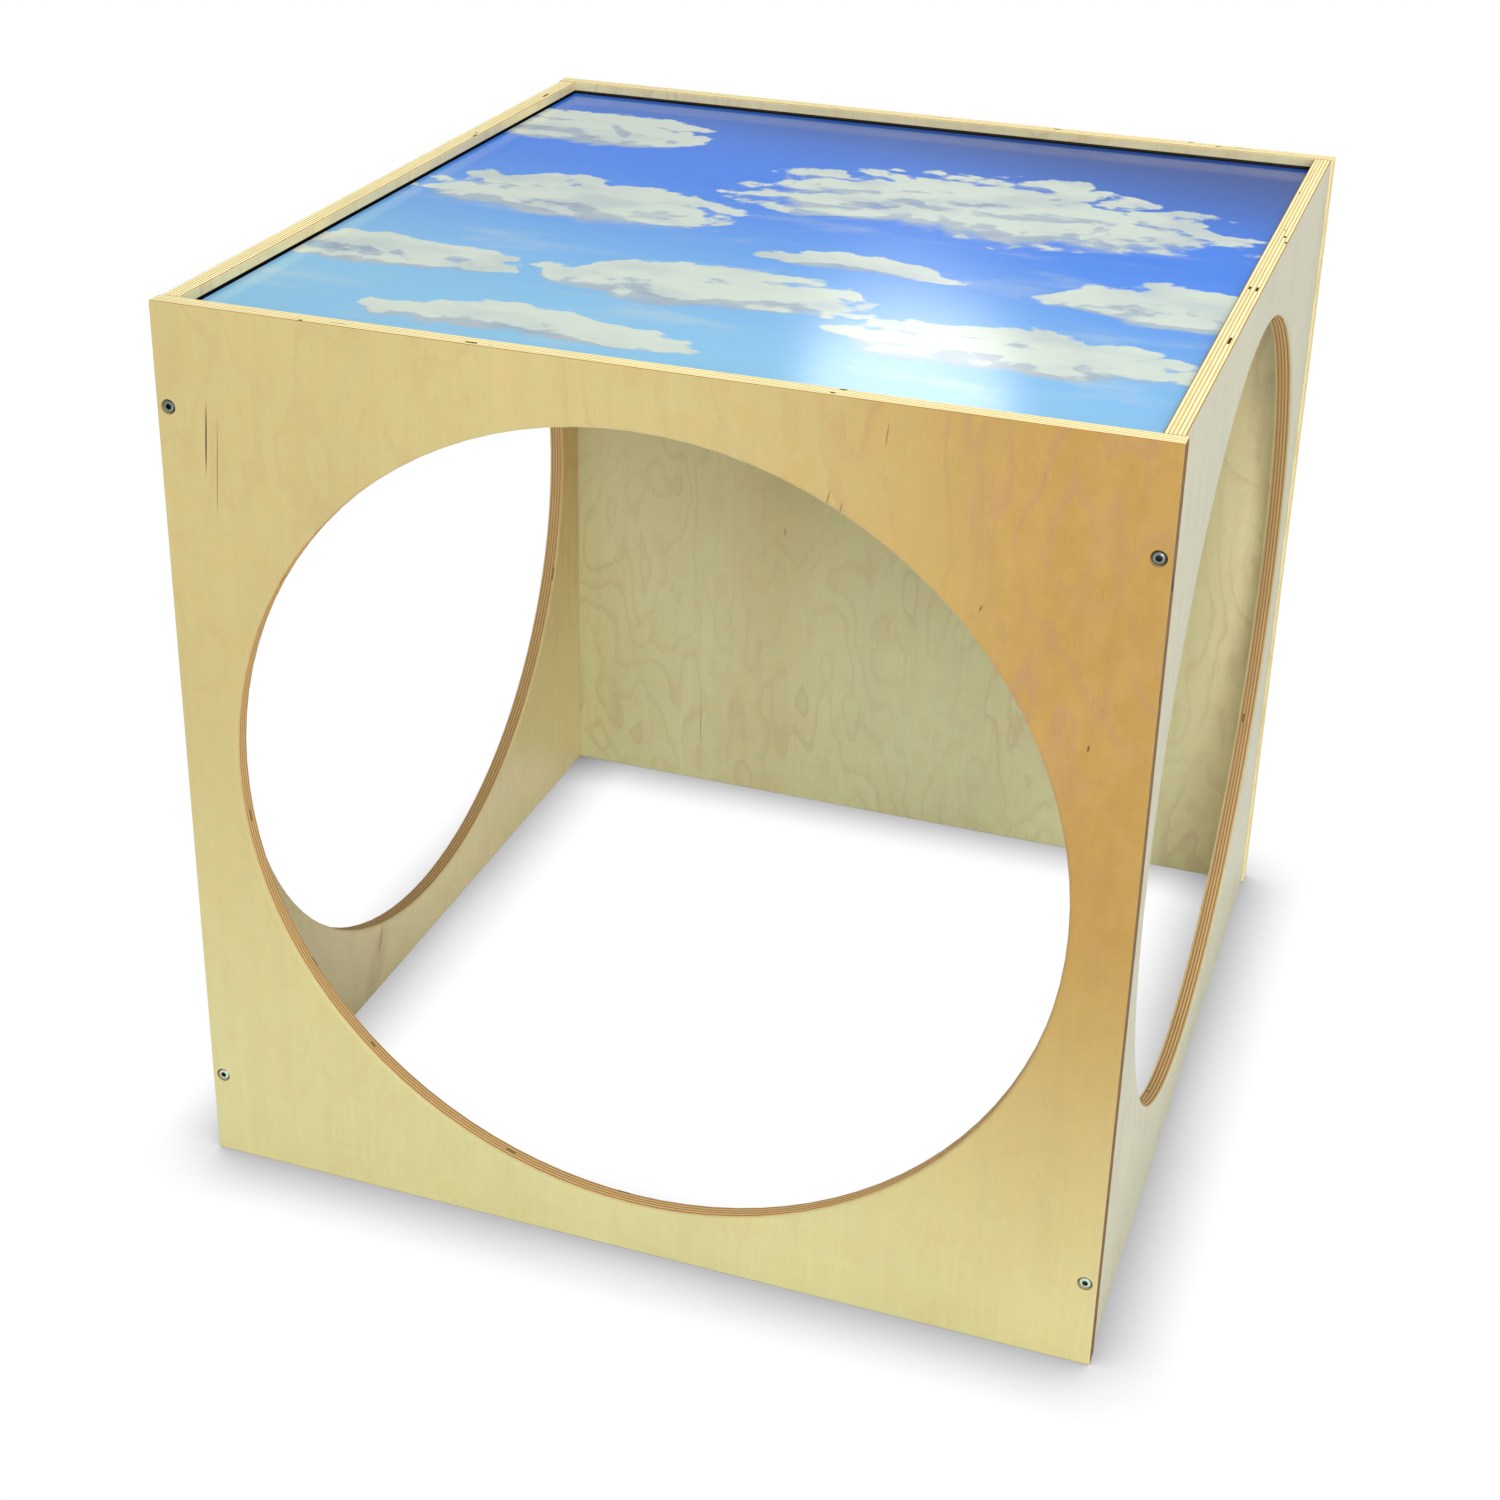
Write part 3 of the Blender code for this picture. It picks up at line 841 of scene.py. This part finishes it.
def left_figure(graph, across, up):
    """The left's inner face is plain near the floor."""
    return graph.smooth(up, 0.10, 0.34) * 0.24 + 0.06


def right_painted_shade(graph, across, up):
    """The right's outer face has painted shade that makes it a little greyer above its foot."""
    return graph.smooth(up, 0.03, 0.30) * 0.30 + 0.06


def finish_panels():
    """Gives each panel its two faces and its cuts. The hidden faces share one plain look."""
    front_outside = Face(
        VENEER_PALE, VENEER_AMBER, front_amber, front_figure, rings=13.0,
        blush=VENEER_BLUSH_FRONT, marks=FRONT_MARKS,
    )
    back_inside = Face(
        VENEER_PALE_BACK, VENEER_AMBER_BACK, back_painted_shade_and_light, 0.24, rings=20.0,
        painted_light_share=back_painted_light, marks=BACK_MARKS,
    )
    left_inside = Face(
        VENEER_PALE_LEFT, VENEER_AMBER, left_amber, left_figure, rings=14.0,
        marks=LEFT_MARKS, mark_colour=RED_STAIN,
    )
    right_outside = Face(VENEER_PALE_RIGHT, VENEER_PAINTED_SHADE_RIGHT, right_painted_shade, 0.18, rings=14.0)
    right_inside = Face(VENEER_PALE_LEFT, VENEER_AMBER, 0.16, 0.24, rings=16.0)
    plain = Face(VENEER_PALE, VENEER_AMBER, 0.28, 0.30, rings=16.0)
    front_cuts = Cuts(end_tone=0.55, rim_tone=1.50, rim_evenness=0.40)
    back_cuts = Cuts(end_tone=1.20, end_brown=0.0)
    left_cuts = Cuts(rim_tone=1.15, rim_evenness=0.45)
    right_cuts = Cuts(rim_evenness=0.40)
    panels = (
        # name, seed of its noise, outer face, inner face, cuts
        ("front_panel", 0.0, front_outside, plain, front_cuts),
        ("back_panel", 3.7, plain, back_inside, back_cuts),
        ("left_panel", 7.9, plain, left_inside, left_cuts),
        ("right_panel", 12.3, right_outside, right_inside, right_cuts),
    )
    for name, seed, outside, inside, cuts in panels:
        finish_node(name, birch_plywood(name, seed, outside, inside, cuts))


def finish_fittings():
    """Finishes the sheet, the screws, of which the low ones have a painted reflection that makes them
    brighter and the high ones painted shade, and the inserts.
    """
    finish_node("sky_sheet", sky_print())
    zinc_painted_reflection = metal("zinc_painted_reflection", ZINC_WITH_PAINTED_REFLECTION, rim_painted_shade=0.0)
    zinc_painted_shade = metal("zinc_painted_shade", ZINC_WITH_PAINTED_SHADE, rim_painted_shade=0.25)
    brass = metal("turned_brass", TURNED_BRASS)
    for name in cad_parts:
        if name.startswith("screw_"):
            finish_node(name, zinc_painted_reflection if name.endswith("_low") else zinc_painted_shade)
        if name.startswith("insert_"):
            finish_node(name, brass)


def ray_kinds(graph):
    """1 for a ray from the camera, and 1 for a ray from a mirror or through glass."""
    path = graph.node("LightPath")
    glossy = graph.field(path, "Is Glossy Ray")
    mirrored = graph.larger(glossy, graph.field(path, "Is Transmission Ray"))
    return graph.field(path, "Is Camera Ray"), mirrored


def make_world():
    """White to look at, with a dimmer ceiling in mirrors, and a soft even light on the object."""
    world = bpy.data.worlds.new("white_studio")
    bpy.context.scene.world = world
    world.use_nodes = True
    graph = Graph(world.node_tree)
    seen, mirrored = ray_kinds(graph)
    elevation = graph.coordinates("Generated")[2]
    ceiling = graph.smooth(elevation, CEILING_START, CEILING_FULL)
    mirrored_strength = graph.between(ceiling, 1.0, CEILING_STRENGTH)
    strength = graph.between(seen, AMBIENT_STRENGTH, 1.0)
    strength = graph.between(mirrored, strength, mirrored_strength)
    background = graph.node("Background", {"Color": (1.0, 1.0, 1.0, 1.0), "Strength": strength})
    output = graph.node("OutputWorld")
    graph.tree.links.new(background.outputs[0], output.inputs["Surface"])


def make_floor():
    """A plain pale floor, white to look at but for the soft shadow where the cube stands on it."""
    half = FLOOR_SIZE / 2
    corners = [(-half, -half, 0.0), (half, -half, 0.0), (half, half, 0.0), (-half, half, 0.0)]
    mesh = bpy.data.meshes.new("floor")
    mesh.from_pydata(corners, [], [(0, 1, 2, 3)])
    floor = bpy.data.objects.new("floor", mesh)
    bpy.context.scene.collection.objects.link(floor)
    floor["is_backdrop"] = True

    material, graph = new_material("pale_floor")
    matt = graph.node("BsdfDiffuse", {"Color": (FLOOR_ALBEDO, FLOOR_ALBEDO, FLOOR_ALBEDO, 1.0)})
    reach = {"Distance": CONTACT_SHADOW_REACH}
    # The floor's seen look paints its contact shadow from ambient occlusion into its emission.
    openness = graph.node("AmbientOcclusion", reach, samples=CONTACT_SHADOW_SAMPLES)
    white = graph.node("Emission", {"Color": graph.field(openness, "Color")})
    seen, mirrored = ray_kinds(graph)
    look = graph.node("MixShader", {0: graph.larger(seen, mirrored)})
    graph.tree.links.new(matt.outputs[0], look.inputs[1])
    graph.tree.links.new(white.outputs[0], look.inputs[2])
    graph.surface(look)
    material.cycles.emission_sampling = "NONE"
    mesh.materials.append(material)


def make_lamps():
    """Large soft lamps that all face the middle of the cube."""
    low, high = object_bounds()
    middle = (low + high) / 2
    for name, place, size, power in LAMPS:
        light = bpy.data.lights.new(name, "AREA")
        light.shape = "DISK"
        light.size = size
        light.energy = power
        lamp = bpy.data.objects.new(name, light)
        lamp.location = place
        lamp.rotation_euler = (middle - Vector(place)).to_track_quat("-Z", "Y").to_euler()
        bpy.context.scene.collection.objects.link(lamp)


def make_camera():
    """The camera at the photograph's viewing angle."""
    azimuth, elevation, roll = map(math.radians, (CAMERA_AZIMUTH, CAMERA_ELEVATION, CAMERA_ROLL))
    back = Vector((
        math.sin(azimuth) * math.cos(elevation),
        -math.cos(azimuth) * math.cos(elevation),
        math.sin(elevation),
    ))
    level_right = Vector((math.cos(azimuth), math.sin(azimuth), 0.0))
    level_up = back.cross(level_right)
    right = math.cos(roll) * level_right + math.sin(roll) * level_up
    up = back.cross(right)

    data = bpy.data.cameras.new("camera")
    data.lens = CAMERA_LENS
    data.sensor_width = CAMERA_SENSOR
    data.shift_x, data.shift_y = CAMERA_SHIFT
    camera = bpy.data.objects.new("camera", data)
    turn = Matrix((right, up, back)).transposed().to_4x4()
    camera.matrix_world = Matrix.Translation(CAMERA_PLACE) @ turn
    bpy.context.scene.collection.objects.link(camera)
    bpy.context.scene.camera = camera


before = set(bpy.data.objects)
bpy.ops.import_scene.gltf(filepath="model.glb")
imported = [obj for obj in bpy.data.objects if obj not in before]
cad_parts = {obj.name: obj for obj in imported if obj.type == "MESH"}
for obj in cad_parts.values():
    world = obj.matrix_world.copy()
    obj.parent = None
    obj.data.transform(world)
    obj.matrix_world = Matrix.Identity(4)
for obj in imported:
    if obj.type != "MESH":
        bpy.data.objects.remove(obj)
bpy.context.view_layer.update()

finish_panels()
finish_fittings()
make_world()
make_floor()
make_lamps()
make_camera()
bpy.context.scene.view_settings.view_transform = "Standard"
